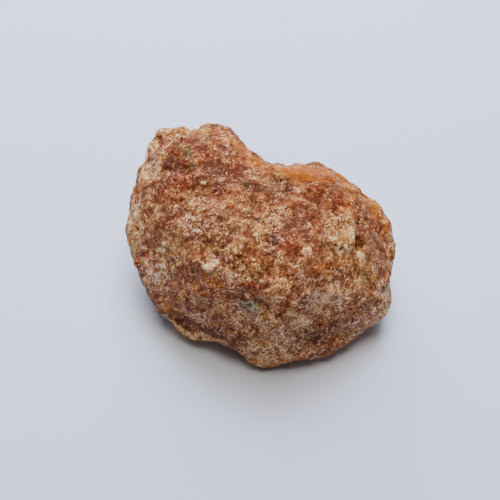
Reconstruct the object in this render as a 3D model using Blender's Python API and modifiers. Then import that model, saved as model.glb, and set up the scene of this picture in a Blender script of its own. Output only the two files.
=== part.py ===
"""Raw honey calcite: one rough stone, 78 mm long, broken off a vein and lying on a cleavage face.

X runs along the stone, Y towards its far side and +Z up. The origin is under the middle of the
stone, on the surface that it lies on.
"""

import math

import bmesh
import bpy
from mathutils import Matrix, Vector, noise

MM = 0.001

# The length of the worn stone along X, which sets its scale.
LENGTH = 78 * MM

# The corners of the broken block in mm, before it wore. The rims are the widest line round it,
# and the foot reaches below the ground plane, where the resting face cuts it off.
FAR_RIM = [
    (-35, 28, 31), (-33.2, 32.5, 33), (-28.5, 34.2, 34.5), (-16, 33.2, 36.5), (-12.5, 33.3, 37), (-9.8, 29, 37),
    (14, 23.6, 32.3), (18.5, 21.8, 31), (24.4, 19.5, 28), (28.9, 15.2, 25.8), (33.8, 13.6, 23.5),
]
RIGHT_RIM = [(37.2, 10.2, 21.5), (39.2, 3.8, 18), (39.2, 1, 17), (37.8, -12.4, 8.5), (37.4, -15.4, 8)]
NEAR_RIM = [
    (30.5, -20.3, 5.5), (27, -23.8, 5), (23.5, -26.3, 4.5), (18.2, -26.4, 4), (12.6, -28.5, 4),
    (8, -31.1, 4), (3.6, -31.6, 4), (-0.6, -31.7, 4), (-4.5, -30.8, 4), (-22.2, -22.6, 4), (-26.3, -20.9, 4),
]
LEFT_RIM = [
    (-29.7, -17.6, 5.5), (-34, -13.6, 8), (-36, -9.8, 10.5), (-38, -4.6, 13.5), (-40, 0.7, 15.5),
    (-41.2, 4, 17), (-42.1, 8.5, 19.8), (-40.8, 13.5, 24), (-36, 22.5, 29),
]
CROWN = [
    (-21, 23, 40), (-6, 18, 42), (8, 11, 41), (21, 4, 37), (-26, 7, 38), (-9, -14, 40),
    (13, -16, 38), (28, -8, 31), (-25, -7, 33), (4, -28, 31), (20, -23, 26), (-16, -21, 27),
]
BELLY = [
    (-26, 28, 14), (-12, 28, 8), (14, 16, 10), (30, 8, 9), (34, -10, 6), (-35, 6, 8), (-32, -8, 6),
]
FOOT = [
    (-20, 16, -2), (2, 15, -2), (20, 6, -2), (27, -10, -2), (15, -23, -2), (0, -28.5, -2),
    (-16, -16, -2), (-26, -6, -2), (-28, 8, -2),
]

# Chips that left hollows: centre and radii in mm, and a turn about Z in degrees.
SCOOPS = {
    "far_saddle": ((5.7, 36, 53), (17.6, 28, 24.5), 0),
    "far_notch": ((5, 35, 22), (15, 15.5, 40), 0),
    "left_undercut": ((-21.5, -25.6, 9), (13, 6, 2.8), -31),
    "near_left_bay": ((-13.5, -34.6, -6), (13, 16, 16), 0),
    "right_bay": ((43, -8, 14), (6, 5, 9), 0),
    "near_hollow": ((17.5, -30.3, 12), (10, 6, 4), 25),
    "left_dent": ((-42, 18.5, 27), (4.5, 3.5, 7), 0),
    "far_top_dip": ((-21.5, 37.2, 38), (5, 6, 8), 0),
}
SCOOP_DETAIL = 4         # subdivisions of a scoop's ball

GRID = 1.9 * MM          # side of the faces of the solid's surface
WEAR_PASSES = 5          # smoothing passes that round the block's edges
WEAR_SHARE = 0.5         # how far one pass moves a point towards its neighbours

# The weathered surface. A span is how wide one swell, crystal face, pit or patch of ledges is.
LUMP_SPAN = 13 * MM
LUMP_HEIGHT = 1.3 * MM

FACE_SPAN = 6.5 * MM
FACE_SLOPE = 0.24
FACE_LIMIT = 0.35 * MM
FACE_SEED = 7.3

PIT_SPAN = 6 * MM
PIT_DEPTH = 1.9 * MM
PIT_THRESHOLD = 0.25
PIT_PLACE = Vector((11, 5, 3))

LEDGE_PITCH = 6 * MM
LEDGE_HEIGHT = 0.4 * MM
LEDGE_TREAD = 0.7        # share of a pitch over which a ledge rises, before it drops
LEDGE_WANDER = 0.6       # how many pitches a ledge strays from its plane
LEDGE_PATCH = 21 * MM
LEDGE_SPREAD = 0.2
LEDGE_PLACE = Vector((3, 7, 1))
CLEAVAGE = Vector((0.35, 0.50, 0.79)).normalized()

# The resting face: points this near the ground plane are brought onto it before the cut.
SNAP = 0.4 * MM
WELD = 0.0001 * MM

HONEY = (0.46, 0.20, 0.10, 1.0)
ROUGHNESS = 0.55


def clear_scene():
    for left_over in list(bpy.data.objects):
        bpy.data.objects.remove(left_over, do_unlink=True)


def new_collection(name):
    made = bpy.data.collections.new(name)
    bpy.context.scene.collection.children.link(made)
    return made


def object_from(bm, name, collection):
    mesh = bpy.data.meshes.new(name)
    bm.to_mesh(mesh)
    bm.free()
    made = bpy.data.objects.new(name, mesh)
    collection.objects.link(made)
    return made


def keep_as_guide(guide):
    guide.hide_render = True
    guide.display_type = "WIRE"


def broken_block(collection):
    """The block as it broke, with flat faces between its corners."""
    bm = bmesh.new()
    for corner in FAR_RIM + RIGHT_RIM + NEAR_RIM + LEFT_RIM + CROWN + BELLY + FOOT:
        bm.verts.new(Vector(corner) * MM)
    bmesh.ops.convex_hull(bm, input=bm.verts)
    inside = [v for v in bm.verts if not v.link_faces]
    bmesh.ops.delete(bm, geom=inside, context="VERTS")
    bmesh.ops.recalc_face_normals(bm, faces=bm.faces)
    block = object_from(bm, "broken_block", collection)
    keep_as_guide(block)
    return block


def scoop_cutter(name, collection):
    centre, radii, turn = SCOOPS[name]
    place = Matrix.LocRotScale(
        Vector(centre) * MM,
        Matrix.Rotation(math.radians(turn), 3, "Z"),
        Vector(radii) * MM,
    )
    bm = bmesh.new()
    bmesh.ops.create_icosphere(bm, subdivisions=SCOOP_DETAIL, radius=1.0, matrix=place)
    cutter = object_from(bm, "scoop_" + name, collection)
    keep_as_guide(cutter)
    return cutter


def wear(block, cutters):
    """Takes the scoops out, then rounds every edge by an even grid and a few smoothing passes."""
    for cutter in cutters:
        chip = block.modifiers.new(cutter.name, "BOOLEAN")
        chip.operation = "DIFFERENCE"
        chip.object = cutter
    grid = block.modifiers.new("grid", "REMESH")
    grid.mode = "VOXEL"
    grid.voxel_size = GRID
    rounding = block.modifiers.new("wear", "SMOOTH")
    rounding.factor = WEAR_SHARE
    rounding.iterations = WEAR_PASSES


def worn_surface(block):
    bpy.context.view_layer.update()
    evaluated = block.evaluated_get(bpy.context.evaluated_depsgraph_get())
    bm = bmesh.new()
    bm.from_mesh(bpy.data.meshes.new_from_object(evaluated))
    bm.normal_update()
    return bm


def lump(point):
    return LUMP_HEIGHT * noise.noise(point / LUMP_SPAN)


def crystal_face(point):
    """Each cell of the rock is one tilted crystal face: its own slope across its own width."""
    centre = noise.voronoi(point / FACE_SPAN)[1][0]
    tilt = noise.cell_vector(centre * FACE_SEED) - Vector((0.5, 0.5, 0.5))
    rise = FACE_SLOPE * (point - centre * FACE_SPAN).dot(tilt)
    return max(-FACE_LIMIT, min(FACE_LIMIT, rise))


def pit(point):
    depth = noise.noise(point / PIT_SPAN + PIT_PLACE) - PIT_THRESHOLD
    return -PIT_DEPTH * max(0.0, depth)


def ledge(point):
    """A cleavage step: a slow rise along the cleavage normal and a quick fall, in some patches."""
    along = point.dot(CLEAVAGE) / LEDGE_PITCH + LEDGE_WANDER * noise.noise(point / LUMP_SPAN)
    part = along - math.floor(along)
    height = part / LEDGE_TREAD if part < LEDGE_TREAD else (1 - part) / (1 - LEDGE_TREAD)
    patch = noise.noise(point / LEDGE_PATCH + LEDGE_PLACE) + LEDGE_SPREAD
    return LEDGE_HEIGHT * (height - 0.5) * max(0.0, min(1.0, 2 * patch))


def weather(bm):
    """Moves each point of the worn stone in or out along its normal."""
    moves = [v.normal * (lump(v.co) + crystal_face(v.co) + pit(v.co) + ledge(v.co)) for v in bm.verts]
    for v, move in zip(bm.verts, moves):
        v.co += move


def cut_resting_face(bm):
    """The cleavage face below: all under the ground plane goes, and the cut is closed flat."""
    for v in bm.verts:
        if abs(v.co.z) < SNAP:
            v.co.z = 0.0
    everything = bm.verts[:] + bm.edges[:] + bm.faces[:]
    cut = bmesh.ops.bisect_plane(
        bm, geom=everything, dist=WELD, plane_co=(0, 0, 0), plane_no=(0, 0, 1), clear_inner=True
    )
    rim = [item for item in cut["geom_cut"] if isinstance(item, bmesh.types.BMEdge)]
    face = bmesh.ops.contextual_create(bm, geom=rim)["faces"]
    bmesh.ops.triangulate(bm, faces=face)


def settle(bm):
    """Brings the stone to its length, with the origin below its middle."""
    lowest = [min(v.co[axis] for v in bm.verts) for axis in (0, 1)]
    highest = [max(v.co[axis] for v in bm.verts) for axis in (0, 1)]
    middle = Vector(((lowest[0] + highest[0]) / 2, (lowest[1] + highest[1]) / 2, 0))
    size = LENGTH / (highest[0] - lowest[0])
    bmesh.ops.translate(bm, vec=-middle, verts=bm.verts)
    bmesh.ops.scale(bm, vec=(size, size, size), verts=bm.verts)


def honey_material():
    made = bpy.data.materials.new("honey_calcite")
    made.use_nodes = True
    surface = made.node_tree.nodes["Principled BSDF"]
    surface.inputs["Base Color"].default_value = HONEY
    surface.inputs["Roughness"].default_value = ROUGHNESS
    surface.inputs["Metallic"].default_value = 0.0
    return made


def main():
    clear_scene()
    guides = new_collection("cutters")
    stone_parts = new_collection("raw_honey_calcite")
    block = broken_block(guides)
    wear(block, [scoop_cutter(name, guides) for name in SCOOPS])
    surface = worn_surface(block)
    weather(surface)
    cut_resting_face(surface)
    settle(surface)
    stone = object_from(surface, "honey_calcite", stone_parts)
    stone.data.materials.append(honey_material())


main()
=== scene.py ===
import math
from functools import partial

import bmesh
import bpy
import numpy as np
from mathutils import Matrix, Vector, noise
from mathutils.bvhtree import BVHTree


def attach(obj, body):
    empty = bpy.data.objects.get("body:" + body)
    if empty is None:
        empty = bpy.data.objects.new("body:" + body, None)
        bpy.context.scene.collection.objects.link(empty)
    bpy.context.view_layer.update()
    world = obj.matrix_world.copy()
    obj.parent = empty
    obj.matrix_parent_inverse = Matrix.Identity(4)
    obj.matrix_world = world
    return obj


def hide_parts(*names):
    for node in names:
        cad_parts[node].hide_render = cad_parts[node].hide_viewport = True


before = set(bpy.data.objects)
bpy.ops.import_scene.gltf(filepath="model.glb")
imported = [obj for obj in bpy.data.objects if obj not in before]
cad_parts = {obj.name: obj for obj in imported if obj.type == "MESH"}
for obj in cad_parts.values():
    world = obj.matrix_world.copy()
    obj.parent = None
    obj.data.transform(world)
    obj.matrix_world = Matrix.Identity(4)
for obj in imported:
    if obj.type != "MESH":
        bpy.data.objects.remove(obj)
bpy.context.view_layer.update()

MM = 0.001

# The camera stands over the near side of the stone and looks down at it. It comes first because the
# stone's marks are placed through it, each by its pixel in a picture of 500 by 500.
CAMERA_HEIGHT = math.radians(52)
CAMERA_DISTANCE = 400 * MM
LOOKS_AT = Vector((-2.9, -1.5, 18)) * MM
PICTURE_PIXELS = 500
PICTURE_WIDTH = 142.3 * MM
SENSOR_WIDTH = 36

towards_camera = Vector((0, -math.cos(CAMERA_HEIGHT), math.sin(CAMERA_HEIGHT)))
picture_right = Vector((1, 0, 0))
picture_up = towards_camera.cross(picture_right)

lens = bpy.data.cameras.new("camera")
lens.sensor_width = SENSOR_WIDTH
lens.lens = SENSOR_WIDTH * CAMERA_DISTANCE / PICTURE_WIDTH
camera = bpy.data.objects.new("camera", lens)
camera.location = LOOKS_AT + towards_camera * CAMERA_DISTANCE
camera.rotation_euler = (math.pi / 2 - CAMERA_HEIGHT, 0, 0)
bpy.context.scene.collection.objects.link(camera)
bpy.context.scene.camera = camera


# The stone is one lump of calcite that broke off a vein along its cleavage and wore round. Its body is
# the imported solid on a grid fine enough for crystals, with the solid's own faces smoothed away.
NODE = "honey_calcite"
FINE_GRID = 0.42 * MM
SMOOTHING = {"factor": 0.5, "iterations": 22}
WELD = 0.001 * MM


def set_shape(piece):
    """Makes what a piece's modifiers give its plain mesh."""
    bpy.context.view_layer.update()
    depsgraph = bpy.context.evaluated_depsgraph_get()
    shaped = bpy.data.meshes.new_from_object(
        piece.evaluated_get(depsgraph), preserve_all_data_layers=True, depsgraph=depsgraph
    )
    piece.modifiers.clear()
    piece.data = shaped


body = bmesh.new()
body.from_mesh(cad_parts[NODE].data)
bmesh.ops.remove_doubles(body, verts=body.verts, dist=WELD)
stone = bpy.data.objects.new("calcite_stone", bpy.data.meshes.new("calcite_stone"))
body.to_mesh(stone.data)
body.free()
bpy.context.scene.collection.objects.link(stone)

grid = stone.modifiers.new("fine_grid", "REMESH")
grid.mode = "VOXEL"
grid.voxel_size = FINE_GRID
grid.use_smooth_shade = True
rounding = stone.modifiers.new("rounding", "SMOOTH")
rounding.factor = SMOOTHING["factor"]
rounding.iterations = SMOOTHING["iterations"]
set_shape(stone)

points = np.empty(len(stone.data.vertices) * 3)
stone.data.vertices.foreach_get("co", points)
points = points.reshape(-1, 3)
points[:, 2] = np.maximum(points[:, 2], 0)
stone.data.vertices.foreach_set("co", points.ravel())
stone.data.update()


# The places where the rock differs in colour: pale cleavage faces, stained grains, milky and deep patches,
# and honey-clear rims. Some marks are painted light instead: painted shade in dark hollows and over parts of
# the upper stone, painted light on the lower near face, and a painted glow along thin rims where light shines
# through. Each lies where its pixel says, with half its width and height in mm, a turn in degrees, and a
# strength.
MARKS = {
    "cream": [
        ((341, 233), 3.9, 4.2, -3, 0.75),
        ((346, 251), 3.0, 1.8, 0, 0.6),
        ((260, 232), 2.2, 2.0, 30, 0.9),
        ((300, 187), 1.6, 1.5, 0, 0.8),
        ((205, 131), 1.7, 2.6, 10, 0.8),
        ((170, 130), 2.6, 1.2, 30, 0.5),
        ((134, 232), 2.6, 5.6, 0, 0.8),
        ((144, 173), 1.4, 2.8, -10, 1.0),
        ((195, 202), 1.9, 1.2, 0, 0.5),
        ((235, 246), 2.7, 1.7, 0, 0.6),
        ((277, 206), 1.5, 1.1, 0, 0.4),
        ((182, 331), 4.6, 1.3, -28, 0.7),
        ((205, 339), 4.4, 1.2, -18, 0.6),
        ((262, 363), 4.2, 1.0, 0, 0.2),
        ((305, 352), 1.6, 1.0, 20, 0.25),
        ((241, 315), 1.2, 0.9, 0, 1.0),
        ((198, 285), 1.3, 1.0, 0, 0.5),
        ((195, 297), 1.3, 1.0, 0, 0.5),
        ((134, 209), 2.0, 1.6, 0, 0.4),
        ((361, 281), 2.2, 1.5, -20, 1.2),
        ((391, 243), 1.6, 3.6, 0, 0.6),
        ((388, 297), 1.7, 4.4, 0, 0.25),
        ((343, 292), 3.2, 1.1, 0, 0.5),
        ((269, 344), 1.3, 0.9, 0, 0.7),
        ((305, 320), 1.8, 1.0, -30, 0.6),
        ((165, 131), 4.2, 1.5, 12, 0.6),
        ((186, 131), 3.6, 1.1, 0, 0.55),
        ((150, 148), 1.6, 3.6, -35, 0.5),
        ((131, 200), 1.4, 3.4, 15, 0.6),
        ((165, 236), 2.6, 2.6, 0, 0.5),
        ((212, 252), 3.2, 1.6, 0, 0.4),
        ((335, 252), 4.2, 2.2, 0, 0.65),
        ((366, 270), 3.2, 3.0, 0, 0.65),
        ((175, 251), 4.4, 2.2, 0, 0.5),
    ],
    "white": [
        ((211, 266), 2.6, 1.1, 34, 1.0),
        ((307, 251), 1.1, 1.0, 0, 1.0),
        ((284, 242), 1.3, 0.7, -10, 0.7),
        ((362, 256), 1.5, 0.9, -35, 1.0),
        ((339, 251), 1.5, 0.8, -35, 0.7),
        ((272, 219), 2.8, 0.8, 8, 0.6),
        ((192, 217), 2.2, 0.6, -5, 0.6),
        ((196, 230), 1.8, 0.6, -15, 0.7),
        ((169, 187), 0.6, 0.6, 0, 0.5),
        ((231, 181), 1.7, 0.9, -20, 0.25),
        ((159, 250), 2.0, 0.8, 0, 0.7),
        ((165, 146), 1.5, 0.6, 30, 0.5),
        ((246, 261), 1.0, 0.9, 0, 0.5),
        ((325, 277), 1.1, 0.7, 0, 0.8),
        ((303, 307), 1.1, 0.8, 0, 0.5),
        ((341, 319), 1.0, 0.8, 0, 0.4),
        ((248, 296), 0.9, 0.9, 40, 0.7),
    ],
    "pink": [
        ((156, 272), 4.4, 3.2, -15, 0.5),
        ((234, 278), 2.6, 1.4, 0, 0.8),
        ((295, 264), 1.5, 0.9, 0, 0.4),
        ((299, 199), 2.3, 1.0, 0, 0.5),
        ((153, 156), 2.2, 2.2, 0, 0.3),
        ((185, 262), 1.4, 0.8, 0, 1.0),
        ((315, 285), 6.0, 1.8, -8, 0.4),
    ],
    "rust": [
        ((176, 152), 2.0, 1.4, 0, 0.9),
        ((200, 149), 2.2, 1.3, 0, 1.0),
        ((190, 140), 2.0, 0.9, 0, 0.6),
        ((180, 165), 4.6, 2.0, 0, 0.6),
        ((219, 187), 2.0, 2.0, 0, 0.7),
        ((236, 168), 3.6, 1.9, -10, 0.8),
        ((289, 248), 2.8, 1.8, -20, 0.9),
        ((247, 247), 2.2, 1.4, 0, 0.7),
        ((256, 286), 3.8, 1.0, -6, 0.9),
        ((334, 201), 5.0, 1.8, -6, 0.7),
        ((322, 267), 3.4, 1.3, 0, 0.7),
        ((368, 233), 1.6, 2.8, 0, 0.6),
        ((145, 254), 1.7, 1.0, 0, 0.7),
        ((151, 297), 1.9, 2.2, 0, 0.6),
        ((331, 344), 3.4, 1.4, 20, 0.6),
        ((352, 300), 3.0, 1.6, 0, 0.4),
        ((178, 180), 6.0, 4.5, 0, 0.45),
        ((318, 196), 6.0, 2.4, -4, 0.6),
        ((318, 251), 4.0, 2.2, 0, 0.4),
        ((203, 160), 3.0, 2.4, 0, 0.6),
        ((166, 180), 3.0, 2.6, 0, 0.5),
    ],
    # Partly the rock's amber stain, partly painted glow: the marks along the upper right and lower rims paint
    # light shining through the thin stone.
    "amber": [
        ((256, 162), 4.2, 2.4, -40, 0.8),
        ((222, 137), 3.8, 2.0, -25, 0.7),
        ((230, 204), 4.3, 2.5, 0, 0.6),
        ((350, 192), 4.0, 3.0, -30, 0.8),
        ((373, 211), 2.6, 3.2, -40, 0.9),
        ((344, 262), 3.6, 1.9, 0, 0.5),
        ((164, 156), 1.4, 1.3, 0, 0.7),
        ((310, 351), 9.0, 1.9, 12, 0.15),
        ((366, 325), 6.0, 1.5, 38, 0.3),
        ((168, 309), 3.4, 1.0, -5, 0.4),
        ((355, 263), 2.6, 1.0, 0, 0.5),
        ((325, 190), 11.0, 5.0, -15, 0.42),
        ((371, 203), 4.0, 1.5, -45, 0.8),
        ((386, 224), 1.4, 3.6, 15, 0.6),
        ((365, 268), 4.5, 4.0, 0, 0.45),
        ((215, 137), 5.0, 3.0, 0, 0.5),
        ((294, 198), 3.4, 2.6, 0, 0.7),
        ((348, 212), 3.4, 3.0, 0, 0.7),
        ((346, 238), 4.0, 3.0, 0, 0.4),
        ((310, 180), 7.0, 2.6, -4, 0.6),
        ((185, 143), 6.0, 2.4, 0, 0.4),
        ((291, 325), 4.0, 3.0, 0, 0.4),
    ],
    # Partly clear honey colour, partly painted glow of light shining through the thin upper right rim.
    "honey": [
        ((310, 173), 9.2, 2.4, -4, 1.0),
        ((285, 168), 3.4, 1.4, -10, 0.8),
        ((347, 181), 4.2, 1.6, -42, 0.8),
        ((372, 205), 3.0, 1.4, -45, 0.6),
        ((352, 268), 3.0, 1.2, 0, 0.35),
        ((240, 146), 3.4, 2.0, -40, 0.5),
    ],
    "moss": [
        ((187, 152), 1.2, 1.9, 0, 1.4),
        ((192, 166), 1.4, 1.7, 20, 1.4),
        ((245, 185), 1.5, 1.2, 0, 1.3),
        ((251, 306), 2.4, 1.5, -10, 1.2),
        ((196, 299), 1.3, 1.0, 0, 0.4),
        ((133, 208), 1.3, 1.2, 0, 0.4),
        ((163, 315), 2.0, 0.9, -25, 0.7),
        ((387, 287), 1.3, 1.4, 0, 0.6),
        ((253, 204), 2.6, 3.4, 0, 0.45),
    ],
    # Painted light: broad patches over the shaded lower near face lift its tone and cool its tint, to even
    # out how the lamps light it.
    "umber": [
        ((200, 325), 14.0, 7.0, -25, 1.0),
        ((290, 342), 17.0, 6.5, 5, 1.0),
        ((245, 318), 12.0, 7.0, 0, 0.8),
        ((352, 318), 12.0, 8.0, 25, 0.9),
        ((160, 290), 7.0, 8.0, 0, 0.8),
        ((372, 280), 7.0, 9.0, 0, 0.4),
        ((300, 300), 14.0, 6.0, 0, 0.7),
        ((366, 303), 7.0, 7.0, 20, 0.8),
        ((265, 358), 7.0, 3.0, 0, 0.8),
        ((384, 304), 3.0, 4.0, 0, 0.7),
    ],
    "frost": [
        ((134, 228), 4.0, 7.5, 0, 1.0),
        ((156, 273), 5.0, 5.0, 0, 0.6),
        ((192, 224), 5.0, 4.0, 0, 0.6),
        ((206, 203), 5.5, 3.0, 0, 0.4),
        ((213, 265), 4.5, 3.5, 30, 0.7),
        ((240, 278), 7.0, 3.2, -5, 0.9),
        ((300, 288), 8.0, 4.5, 0, 0.5),
        ((265, 217), 5.0, 3.0, 0, 0.4),
        ((342, 232), 5.5, 6.0, 0, 0.8),
        ((330, 298), 7.0, 5.0, 0, 0.8),
        ((386, 300), 3.0, 5.5, 0, 1.0),
        ((246, 315), 5.0, 4.5, 0, 0.8),
        ((287, 330), 7.0, 5.5, 0, 0.8),
        ((208, 328), 7.5, 4.0, -25, 0.5),
        ((150, 165), 3.5, 5.0, 20, 0.8),
        ((300, 196), 5.0, 2.5, 0, 0.6),
        ((310, 343), 12.0, 4.5, 10, 0.6),
        ((362, 322), 8.0, 4.0, 36, 0.7),
        ((262, 350), 6.0, 5.0, 0, 0.5),
    ],
    "milky": [
        ((172, 252), 9.0, 4.0, 0, 0.6),
        ((152, 268), 4.0, 4.0, 0, 0.6),
        ((345, 260), 8.0, 3.5, 0, 0.6),
        ((285, 270), 12.0, 3.0, 0, 0.5),
    ],
    # Partly darker rock, partly painted shade: the broad patches over the upper, far part of the stone darken
    # it where the lights behind it fall strongest.
    "deep": [
        ((200, 160), 12.0, 7.0, 0, 0.7),
        ((176, 186), 8.0, 5.0, 0, 0.7),
        ((236, 190), 8.0, 5.0, 0, 0.7),
        ((305, 190), 13.0, 5.0, 0, 0.8),
        ((275, 230), 9.0, 4.0, 0, 0.7),
        ((330, 218), 7.0, 5.0, 0, 0.6),
        ((225, 336), 8.0, 4.0, -25, 0.6),
        ((335, 325), 12.0, 5.0, 15, 0.6),
    ],
    # Painted shade: darkening in the recesses and crevices beside cleavage steps and under the lower left
    # lip, where shade falls.
    "shade": [
        ((360, 232), 1.0, 4.4, 4, 0.9),
        ((359, 244), 1.4, 1.7, 0, 1.0),
        ((271, 236), 1.4, 2.8, 4, 0.8),
        ((371, 259), 1.2, 0.7, -30, 0.4),
        ((247, 186), 0.6, 0.7, 0, 1.0),
        ((248, 306), 0.7, 0.8, 0, 1.0),
        ((186, 172), 1.6, 1.0, 0, 0.8),
        ((222, 220), 1.8, 0.8, 0, 1.0),
        ((233, 229), 1.8, 1.6, 0, 1.2),
        ((219, 187), 2.2, 1.8, 0, 0.7),
        ((236, 168), 3.4, 1.6, -10, 0.4),
        ((181, 321), 6.0, 1.5, -28, 1.0),
        ((211, 334), 2.7, 1.0, -20, 0.9),
        ((318, 336), 5.6, 2.4, 10, 0.6),
        ((293, 350), 2.6, 1.2, -25, 0.6),
        ((391, 260), 0.7, 1.0, 0, 1.0),
        ((322, 180), 5.5, 2.2, -10, 0.62),
    ],
}
ROUND = 2  # the power that makes a patch round; higher ones are squarer
SQUARENESS = {"cream": 5, "white": 3}
RAGGED = 1  # the full share of the wavering that an edge can take
RAGGEDNESS = {"cream": 0.3, "white": 0.6}
MARK_DEPTH = 2.5  # how much deeper than wide a mark reaches into the stone
WAVER = {"width": 1.6 * MM, "reach": 0.55}
EDGE_SOFTNESS = 0.5

skin = BVHTree.FromObject(stone, bpy.context.evaluated_depsgraph_get())


def seen_at(pixel):
    """The point of the stone that the camera sees at a pixel, or the nearest one just past its edge."""
    across = (pixel[0] - PICTURE_PIXELS / 2) * PICTURE_WIDTH / PICTURE_PIXELS
    upward = (PICTURE_PIXELS / 2 - pixel[1]) * PICTURE_WIDTH / PICTURE_PIXELS
    aim = LOOKS_AT + picture_right * across + picture_up * upward
    hit = skin.ray_cast(camera.location, (aim - camera.location).normalized())[0]
    return hit or skin.find_nearest(aim)[0]


def waver_of(places):
    return np.array([noise.noise(Vector(place) / WAVER["width"]) for place in places])


def patch(pixel, half_width, half_height, turn, squareness):
    """How far inside a patch each point of the stone is: 1 well inside, 0 at its wavering edge."""
    from_middle = points - np.array(seen_at(pixel))
    across = from_middle @ np.array(picture_right)
    upward = from_middle @ np.array(picture_up)
    inward = from_middle @ np.array(towards_camera)
    cosine = math.cos(math.radians(turn))
    sine = math.sin(math.radians(turn))
    along = abs(across * cosine + upward * sine) / (half_width * MM)
    beside = abs(upward * cosine - across * sine) / (half_height * MM)
    depth = abs(inward) / ((half_width + half_height) / 2 * MARK_DEPTH * MM)
    reach = (along**squareness + beside**squareness + depth**squareness) ** (1 / squareness)
    return 1 - reach


wavering = WAVER["reach"] * waver_of(points)
for kind, marks in MARKS.items():
    layer = np.zeros(len(points))
    for pixel, half_width, half_height, turn, strength in marks:
        inside = patch(pixel, half_width, half_height, turn, SQUARENESS.get(kind, ROUND))
        inside = inside + wavering * RAGGEDNESS.get(kind, RAGGED)
        layer = np.maximum(layer, strength * np.clip(inside / EDGE_SOFTNESS + 0.5, 0, 1))
    stone.data.attributes.new(kind, "FLOAT", "POINT").data.foreach_set("value", layer)


# Where the rock split off in steps, a cleavage face stands proud of its surroundings or lies below them.
# Each step is placed as a mark is, with how far it stands out in mm in place of a strength.
STEPS = [
    ((341, 233), 4.0, 4.4, -3, 0.9),
    ((260, 232), 2.0, 1.9, 30, 0.6),
    ((212, 266), 2.3, 1.0, 34, 0.5),
    ((307, 251), 1.0, 0.9, 0, 0.4),
    ((300, 187), 1.5, 1.4, 0, 0.3),
    ((205, 131), 1.7, 2.4, 10, 0.5),
    ((360, 236), 1.2, 4.6, 4, -0.8),
    ((359, 244), 1.2, 1.6, 0, -0.6),
    ((271, 236), 1.3, 2.8, 4, -0.5),
    ((222, 220), 1.8, 0.8, 0, -0.5),
    ((186, 172), 1.6, 1.0, 0, -0.5),
    ((248, 306), 0.9, 0.9, 0, -0.6),
    ((247, 186), 0.8, 0.9, 0, -0.5),
    ((184, 321), 5.4, 1.4, -25, -0.7),
    ((211, 334), 2.6, 1.0, -20, -0.6),
    ((391, 259), 1.0, 1.2, 0, -0.5),
    ((172, 131), 4.0, 3.0, 5, 1.2),
]
STEP_SQUARENESS = 4
STEP_RAGGEDNESS = 0.5
STEP_EDGE = 0.22

stands_out = np.zeros(len(points))
for pixel, half_width, half_height, turn, rise in STEPS:
    inside = patch(pixel, half_width, half_height, turn, STEP_SQUARENESS) + wavering * STEP_RAGGEDNESS
    stands_out += rise * MM * np.clip(inside / STEP_EDGE + 0.5, 0, 1)
stone.data.attributes.new("stands_out", "FLOAT", "POINT").data.foreach_set("value", stands_out)


# The whole surface is crystals: tilted cleavage faces 4 mm wide, grains 1.5 mm wide on them, and pits
# where grains fell out. They are squarish, as calcite cleaves. They lie on the worn body, flatter where
# it is clear, and fade out where it meets what it rests on. The colours below follow the same crystals.
CRYSTALS = {
    "Face Width": 4.2 * MM,
    "Face Slope": 0.14,
    "Face Step": 0.42 * MM,
    "Grain Width": 1.5 * MM,
    "Grain Slope": 0.28,
    "Grain Step": 0.18 * MM,
    "Pit Width": 2.4 * MM,
    "Pit Depth": 0.8 * MM,
    "Resting Height": 1.2 * MM,
}
PIT_THRESHOLD = 0.56
PIT_STEEPNESS = 4
MIDDLE = 0.5  # of the range of a cloudy pattern, and of each of a crystal's own three numbers
CENTRE = (MIDDLE, MIDDLE, MIDDLE)
TILT_RANGE = 2  # brings a tilt of half a unit each way to a full unit
CLOUD_DETAIL = 1.0
EDGE_ROUNDING = 2
CLEAVAGE_TURN = (0.5, 0.35, 0.45)
WANDER = {"scale": 260.0, "reach": 1.2 * MM}
CLEAR_FLATNESS = 0.6


class Wire:
    """A node's output. Sums and products of wires add the Math nodes that work them out."""

    def __init__(self, tree, socket):
        self.tree = tree
        self.socket = socket

    @classmethod
    def node(cls, tree, kind, settings, values, output=0):
        """Adds a node, with its settings first, then the values or wires of its inputs."""
        made = tree.nodes.new(kind)
        for name, setting in settings.items():
            if name == "stops":
                stops = made.color_ramp.elements
                stops.remove(stops[-1])
                stops[0].position, stops[0].color = setting[0]
                for place, colour in setting[1:]:
                    stops.new(place).color = colour
            else:
                setattr(made, name, setting)
        for name, value in values.items():
            if isinstance(value, cls):
                tree.links.new(value.socket, made.inputs[name])
            else:
                made.inputs[name].default_value = value
        return cls(tree, made.outputs[output]) if made.outputs else None

    def maths(self, operation, first, second):
        return Wire.node(self.tree, "ShaderNodeMath", {"operation": operation}, {0: first, 1: second})

    def __add__(self, other):
        return self.maths("ADD", self, other)

    def __radd__(self, other):
        return self.maths("ADD", other, self)

    def __sub__(self, other):
        return self.maths("SUBTRACT", self, other)

    def __rsub__(self, other):
        return self.maths("SUBTRACT", other, self)

    def __mul__(self, other):
        return self.maths("MULTIPLY", self, other)

    def __rmul__(self, other):
        return self.maths("MULTIPLY", other, self)

    def __truediv__(self, other):
        return self.maths("DIVIDE", self, other)

    def __rtruediv__(self, other):
        return self.maths("DIVIDE", other, self)


def moved_by(node, place, vector, reach):
    """A place, moved by up to half the reach each way."""
    centred = node("ShaderNodeVectorMath", {"operation": "SUBTRACT"}, {0: vector, 1: CENTRE})
    scaled = node("ShaderNodeVectorMath", {"operation": "SCALE"}, {0: centred, "Scale": reach})
    return node("ShaderNodeVectorMath", {"operation": "ADD"}, {0: place, 1: scaled})


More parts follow.
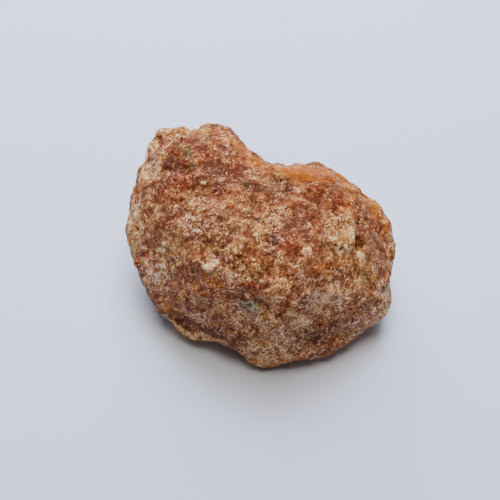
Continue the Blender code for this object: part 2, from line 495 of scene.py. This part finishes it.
def crystal_relief():
    """A tree that sets crystals on a surface. Its inputs are the sizes in CRYSTALS."""
    tree = bpy.data.node_groups.new("crystal_relief", "GeometryNodeTree")
    tree.interface.new_socket("Geometry", in_out="INPUT", socket_type="NodeSocketGeometry")
    for name in CRYSTALS:
        tree.interface.new_socket(name, in_out="INPUT", socket_type="NodeSocketFloat")
    tree.interface.new_socket("Geometry", in_out="OUTPUT", socket_type="NodeSocketGeometry")
    node = partial(Wire.node, tree)
    entry = tree.nodes.new("NodeGroupInput")
    size = {socket.name: Wire(tree, socket) for socket in entry.outputs if socket.name}
    place = node("GeometryNodeInputPosition", {}, {})
    outward = node("GeometryNodeInputNormal", {}, {})

    drift = node("ShaderNodeTexNoise", {},
                 {"Vector": place, "Scale": WANDER["scale"], "Detail": CLOUD_DETAIL}, "Color")
    turned = node("ShaderNodeVectorRotate", {"rotation_type": "EULER_XYZ"},
                  {"Vector": moved_by(node, place, drift, WANDER["reach"]), "Rotation": CLEAVAGE_TURN})

    def crystal_faces(width, slope, step):
        """The height of tilted faces above the surface, each on a level of its own."""
        cells = tree.nodes.new("ShaderNodeTexVoronoi")
        cells.distance = "CHEBYCHEV"
        tree.links.new(turned.socket, cells.inputs["Vector"])
        tree.links.new((1 / width).socket, cells.inputs["Scale"])
        own = Wire(tree, cells.outputs["Color"])
        tilt = node("ShaderNodeVectorMath", {"operation": "SUBTRACT"}, {0: own, 1: CENTRE})
        away = node("ShaderNodeVectorMath", {"operation": "SUBTRACT"},
                    {0: turned, 1: Wire(tree, cells.outputs["Position"])})
        rise = node("ShaderNodeVectorMath", {"operation": "DOT_PRODUCT"}, {0: tilt, 1: away}, "Value")
        level = node("ShaderNodeSeparateXYZ", {}, {"Vector": tilt}, "Y")
        return rise * slope * TILT_RANGE + level * step

    faces = crystal_faces(size["Face Width"], size["Face Slope"], size["Face Step"])
    grains = crystal_faces(size["Grain Width"], size["Grain Slope"], size["Grain Step"])
    cloud = node("ShaderNodeTexNoise", {},
                 {"Vector": place, "Scale": 1 / size["Pit Width"], "Detail": CLOUD_DETAIL})
    hollow = node("ShaderNodeMath", {"operation": "MAXIMUM"}, {0: cloud - PIT_THRESHOLD, 1: 0.0})
    pits = hollow * size["Pit Depth"] * PIT_STEEPNESS
    steps = node("GeometryNodeInputNamedAttribute", {"data_type": "FLOAT"}, {"Name": "stands_out"})
    height = node("ShaderNodeSeparateXYZ", {}, {"Vector": place}, "Z")
    free = node("ShaderNodeMapRange", {"interpolation_type": "SMOOTHSTEP"},
                {"Value": height, "From Min": 0.0, "From Max": size["Resting Height"]})
    clear = node("GeometryNodeInputNamedAttribute", {"data_type": "FLOAT"}, {"Name": "honey"})
    rough = (faces + grains - pits) * (1 - clear * CLEAR_FLATNESS)
    move = node("GeometryNodeBlurAttribute", {"data_type": "FLOAT"},
                {"Value": (rough + steps) * free, "Iterations": EDGE_ROUNDING})
    offset = node("ShaderNodeVectorMath", {"operation": "SCALE"}, {0: outward, "Scale": move})
    kept = node("GeometryNodeStoreNamedAttribute", {"data_type": "FLOAT_VECTOR", "domain": "POINT"},
                {"Geometry": Wire(tree, entry.outputs["Geometry"]), "Name": "crystal_place", "Value": turned})
    moved = node("GeometryNodeSetPosition", {}, {"Geometry": kept, "Offset": offset})
    real = node("GeometryNodeRealizeInstances", {}, {"Geometry": moved})
    finished = node("GeometryNodeSetMaterial", {}, {"Geometry": real, "Material": calcite})
    leave = tree.nodes.new("NodeGroupOutput")
    tree.links.new(finished.socket, leave.inputs["Geometry"])
    return tree


# Honey calcite is clear to milky crystal, stained by iron from brown to orange. Bruised cleavage faces and
# rubbed grains whiten it, in crusts between smoother patches, and clear rock is darker. The bright glints in
# the crusts are partly white specks and partly painted highlights, the sparkle of tiny cleavage facets. The
# finest grains, a third of a millimetre wide, are here alone. Widths are in mm, and scales count waves in a
# mm.
SUGAR_WIDTH = 0.7
SUGAR_TILT = 0.35
SALT_WIDTH = 0.36
EDGE_PITCH = 1.3
GRAIN_WARP = {"scale": 0.8, "detail": 2.0, "reach": 0.9}
ROCK = {"Scale": 0.36, "Detail": 3.0, "Roughness": 0.7, "Distortion": 0.8}
CLOUDS = {  # scale and detail of each cloudy pattern
    "speck": (1.5, 4.0), "dust": (3.8, 1.0), "stain": (0.12, 3.0), "milk": (0.19, 4.0),
    "bruise": (0.30, 3.0), "edge": (0.9, 2.0),
}
SETS_IN = {  # where each effect begins, and where it is full
    "mark": (0.20, 0.75), "crust": (0.42, 0.62), "salt": (0.70, 0.88), "sugar": (0.25, 0.60),
    "fleck": (0.50, 1.0), "edge": (0.14, 0.03), "edge_patch": (0.42, 0.56),
    "stain": (0.44, 0.64), "milk": (0.50, 0.68), "gloss": (0.75, 0.95),
}
CRUMBLE = {"cream": 0.7, "white": 1.0, "amber": 1.3, "honey": 1.2}
CRUMBLE_ELSEWHERE = 1.7
MARK_GRAIN = 0.2


def tint(red, green, blue):
    """A colour as a screen shows it, from 0 to 255, in the linear values that a shader takes."""
    shares = [channel / 255 for channel in (red, green, blue)]
    return [c / 12.92 if c <= 0.04045 else ((c + 0.055) / 1.055) ** 2.4 for c in shares] + [1.0]


BROWN_ROCK = [
    (0.00, tint(72, 31, 14)), (0.25, tint(103, 53, 32)), (0.50, tint(137, 83, 58)),
    (0.75, tint(175, 117, 82)), (1.00, tint(225, 179, 141)),
]
ORANGE_ROCK = [
    (0.00, tint(84, 32, 10)), (0.25, tint(120, 60, 27)), (0.50, tint(159, 96, 55)),
    (0.75, tint(196, 132, 80)), (1.00, tint(232, 188, 136)),
]
PALE_ROCK = [
    (0.00, tint(80, 42, 20)), (0.25, tint(120, 76, 45)), (0.50, tint(162, 111, 68)),
    (0.75, tint(208, 153, 94)), (1.00, tint(244, 210, 152)),
]
LILAC_ROCK = [
    (0.00, tint(72, 33, 19)), (0.25, tint(110, 64, 45)), (0.50, tint(152, 106, 84)),
    (0.75, tint(206, 156, 123)), (1.00, tint(246, 217, 192)),
]
BASE_TONE = 0.29
TONE_SPREAD = {"rock": 1.05, "dust": 0.3, "face": 0.16, "grain": 0.24, "sugar": 0.28, "edge": 0.09}
GLINT_RISE = {"smooth": 0.20, "crust": 0.45}
FLECK_RISE = {"smooth": 0.20, "crust": 0.33}
PALEST = {"tone": 0.96, "ease": 0.15}
RAISES_TONE = {
    "white": 0.34, "cream": 0.13, "frost": 0.06, "pink": 0.10, "amber": 0.02, "honey": 0.02, "umber": 0.09,
    "rust": -0.13, "moss": 0.05, "shade": -0.26, "milky": 0.17, "deep": -0.17,
}
CLEAR_TONE = 0.56
CLEAR_SHARE = 0.35
AMBER_CLEARNESS = 0.6
MORE_BRUISED = {"frost": 0.08, "rust": -0.06, "honey": -0.2}
MORE_STAINED = {"amber": 0.1, "honey": 0.3}
MORE_CLOUDED = {"frost": 0.06}
FACE_STAIN = 0.14
FACE_CLOUD = 0.16
MILK_SHARE = 0.7
TURNS_PALE = {"frost": 0.40, "cream": 0.8, "pink": 0.8, "white": 0.8}
LILAC_IN_WHITE = 0.5
# The glints' colour and share: partly painted highlight, partly white crust.
GLINT_TINT = tint(244, 213, 174)
GLINT_SHARE = 0.36
CASTS = {
    "amber": (0.80, (1.05, 0.97, 0.58, 1)),
    "honey": (0.95, (1.12, 0.98, 0.28, 1)),
    "rust": (0.75, (1.04, 0.68, 0.44, 1)),
    "moss": (0.9, (0.64, 1.0, 1.08, 1)),
    # painted light: cools the tint of the shaded lower near face
    "umber": (0.40, (0.94, 1.0, 1.08, 1)),
}
DULL = 0.70
GLOSS = 0.40
REFRACTIVE_INDEX = 1.5
SHEEN_LEVEL = 0.14
SUBSURFACE = {"weight": 0.30, "radius": (1.0, 0.36, 0.14), "scale": 2.4 * MM}

calcite = bpy.data.materials.new("honey_calcite_grains")
calcite.use_nodes = True
calcite.node_tree.nodes.clear()
node = partial(Wire.node, calcite.node_tree)


def smooth_step(value, low, high):
    return node("ShaderNodeMapRange", {"interpolation_type": "SMOOTHSTEP"},
                {"Value": value, "From Min": low, "From Max": high})


def mixed(share, under, over, blend="MIX"):
    """A colour, with another laid over it. The numbers are the Mix node's colour sockets."""
    return node("ShaderNodeMix", {"data_type": "RGBA", "blend_type": blend}, {0: share, 6: under, 7: over}, 2)


def noise_at(place, scale, detail, output=0):
    return node("ShaderNodeTexNoise", {}, {"Vector": place, "Scale": scale, "Detail": detail}, output)


def three_of(own):
    return [node("ShaderNodeSeparateColor", {}, {"Color": own}, part) for part in ("Red", "Green", "Blue")]


def cells(place, width):
    """Three numbers for each squarish crystal of this width."""
    return node("ShaderNodeTexVoronoi", {"distance": "CHEBYCHEV"},
                {"Vector": place, "Scale": 1 / width}, "Color")


def attribute(name, output="Fac"):
    return node("ShaderNodeAttribute", {"attribute_name": name}, {}, output)


in_metres = node("ShaderNodeTexCoord", {}, {}, "Object")
in_mm = node("ShaderNodeVectorMath", {"operation": "SCALE"}, {0: in_metres, "Scale": 1 / MM})
warp = noise_at(in_mm, GRAIN_WARP["scale"], GRAIN_WARP["detail"], "Color")
warped = moved_by(node, in_mm, warp, GRAIN_WARP["reach"])
crystal_place = attribute("crystal_place", "Vector")
face = three_of(cells(crystal_place, CRYSTALS["Face Width"]))
grain = three_of(cells(crystal_place, CRYSTALS["Grain Width"]))
sugar_own = cells(warped, SUGAR_WIDTH)
sugar = three_of(sugar_own)
salt = three_of(cells(warped, SALT_WIDTH))
edge_distance = node("ShaderNodeTexVoronoi", {"feature": "DISTANCE_TO_EDGE"},
                     {"Vector": warped, "Scale": 1 / EDGE_PITCH}, "Distance")
rock = node("ShaderNodeTexNoise", {}, {"Vector": in_mm, **ROCK})
cloud = {name: noise_at(in_mm, scale, detail) for name, (scale, detail) in CLOUDS.items()}
edges = smooth_step(edge_distance, *SETS_IN["edge"]) * smooth_step(cloud["edge"], *SETS_IN["edge_patch"])

marked = {}
for kind in MARKS:
    crumbled = (cloud["speck"] - MIDDLE) * CRUMBLE.get(kind, CRUMBLE_ELSEWHERE)
    whole = attribute(kind) + crumbled + (sugar[1] - MIDDLE) * MARK_GRAIN
    marked[kind] = smooth_step(whole, *SETS_IN["mark"])


def at_marks(pattern, shares):
    """A pattern, with more or less of it at each kind of mark."""
    for kind, share in shares.items():
        pattern = pattern + marked[kind] * share
    return pattern


crust = smooth_step(at_marks(cloud["bruise"], MORE_BRUISED), *SETS_IN["crust"])
# Painted highlights: the glints are the sparkle of tiny cleavage facets, painted into the tone and a whitened
# colour, together with white crust specks.
glint = smooth_step(salt[1], *SETS_IN["salt"]) * smooth_step(sugar[2], *SETS_IN["sugar"])
fleck = smooth_step(salt[0], *SETS_IN["fleck"])
tone = BASE_TONE + (rock - MIDDLE) * TONE_SPREAD["rock"] + (cloud["dust"] - MIDDLE) * TONE_SPREAD["dust"]
for rising, rise in ((glint, GLINT_RISE), (fleck, FLECK_RISE)):
    tone = tone + rising * (rise["smooth"] + crust * rise["crust"])
for own, name in ((face[0], "face"), (grain[0], "grain"), (sugar[0], "sugar")):
    tone = tone + (own - MIDDLE) * TONE_SPREAD[name]
tone = tone + edges * TONE_SPREAD["edge"]
tone = node("ShaderNodeMath", {"operation": "SMOOTH_MIN"}, {0: tone, 1: PALEST["tone"], 2: PALEST["ease"]})
tone = at_marks(tone, RAISES_TONE)
# Where the rims have painted glow, the tone is evened out towards a clear middle.
clearness = (marked["amber"] * AMBER_CLEARNESS + marked["honey"]) * CLEAR_SHARE
tone = tone + (CLEAR_TONE - tone) * clearness

brown, orange, pale, lilac = [
    node("ShaderNodeValToRGB", {"stops": stops}, {"Fac": tone})
    for stops in (BROWN_ROCK, ORANGE_ROCK, PALE_ROCK, LILAC_ROCK)
]
stained = at_marks(cloud["stain"] + (face[1] - MIDDLE) * FACE_STAIN, MORE_STAINED)
clouded = at_marks(cloud["milk"] + (face[2] - MIDDLE) * FACE_CLOUD, MORE_CLOUDED)
colour = mixed(smooth_step(stained, *SETS_IN["stain"]), brown, orange)
colour = mixed(smooth_step(clouded, *SETS_IN["milk"]) * MILK_SHARE, colour, pale)
paler = {"frost": lilac, "cream": pale, "pink": lilac, "white": mixed(LILAC_IN_WHITE, pale, lilac)}
for kind, share in TURNS_PALE.items():
    colour = mixed(marked[kind] * share, colour, paler[kind])
colour = mixed(glint * crust * GLINT_SHARE, colour, GLINT_TINT)
for kind, (share, cast) in CASTS.items():
    colour = mixed(marked[kind] * share, colour, mixed(1.0, colour, cast, "MULTIPLY"))

upright = node("ShaderNodeNewGeometry", {}, {}, "Normal")
facing = moved_by(node, upright, sugar_own, SUGAR_TILT)
facing = node("ShaderNodeVectorMath", {"operation": "NORMALIZE"}, {0: facing})
roughness = DULL - GLOSS * smooth_step(sugar[0], *SETS_IN["gloss"])

surface = node(
    "ShaderNodeBsdfPrincipled", {"subsurface_method": "RANDOM_WALK"},
    {
        "Base Color": colour,
        "Roughness": roughness,
        "Metallic": 0.0,
        "IOR": REFRACTIVE_INDEX,
        "Specular IOR Level": SHEEN_LEVEL,
        "Subsurface Weight": SUBSURFACE["weight"],
        "Subsurface Radius": SUBSURFACE["radius"],
        "Subsurface Scale": SUBSURFACE["scale"],
        "Normal": facing,
    },
)
node("ShaderNodeOutputMaterial", {}, {"Surface": surface})

relief = stone.modifiers.new("crystal_relief", "NODES")
relief.node_group = crystal_relief()
for socket in relief.node_group.interface.items_tree:
    if socket.in_out == "INPUT" and socket.name in CRYSTALS:
        relief[socket.identifier] = CRYSTALS[socket.name]
set_shape(stone)

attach(stone, "root")
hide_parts(NODE)


# The stone lies on a plain pale table in a dim, warm room. Two cool soft lights behind it throw its shadow
# towards the camera, and a warmer one hangs right above it.
TABLE_SIZE = 3.0
TABLE_TINT = tint(213, 225, 255)
TABLE_ROUGHNESS = 0.8
ROOM_TINT = (1.0, 0.86, 0.68, 1.0)
ROOM_STRENGTH = 0.12
LIGHTS = {
    "key": {"place": (0.08, 0.30, 0.66), "size": 0.34, "watts": 4.7, "tint": (0.885, 0.94, 1.0)},
    "back": {"place": (-0.08, 0.42, 0.38), "size": 0.48, "watts": 4.4, "tint": (0.86, 0.93, 1.0)},
    "ceiling": {"place": (0.0, -0.04, 0.92), "size": 0.46, "watts": 5.3, "tint": (1.0, 0.86, 0.67)},
}

table_mesh = bpy.data.meshes.new("table")
table_shape = bmesh.new()
bmesh.ops.create_grid(table_shape, x_segments=1, y_segments=1, size=TABLE_SIZE / 2)
table_shape.to_mesh(table_mesh)
table_shape.free()
table = bpy.data.objects.new("table", table_mesh)
bpy.context.scene.collection.objects.link(table)
table_finish = bpy.data.materials.new("pale_table")
table_finish.use_nodes = True
table_surface = table_finish.node_tree.nodes["Principled BSDF"]
table_surface.inputs["Base Color"].default_value = TABLE_TINT
table_surface.inputs["Roughness"].default_value = TABLE_ROUGHNESS
table_mesh.materials.append(table_finish)

room = bpy.data.worlds.new("room")
room.use_nodes = True
room_light = room.node_tree.nodes["Background"]
room_light.inputs["Color"].default_value = ROOM_TINT
room_light.inputs["Strength"].default_value = ROOM_STRENGTH
bpy.context.scene.world = room

for name, light in LIGHTS.items():
    softbox = bpy.data.lights.new(name, "AREA")
    softbox.size = light["size"]
    softbox.energy = light["watts"]
    softbox.color = light["tint"]
    lamp = bpy.data.objects.new(name, softbox)
    lamp.location = light["place"]
    lamp.rotation_euler = (LOOKS_AT - lamp.location).to_track_quat("-Z", "Y").to_euler()
    bpy.context.scene.collection.objects.link(lamp)
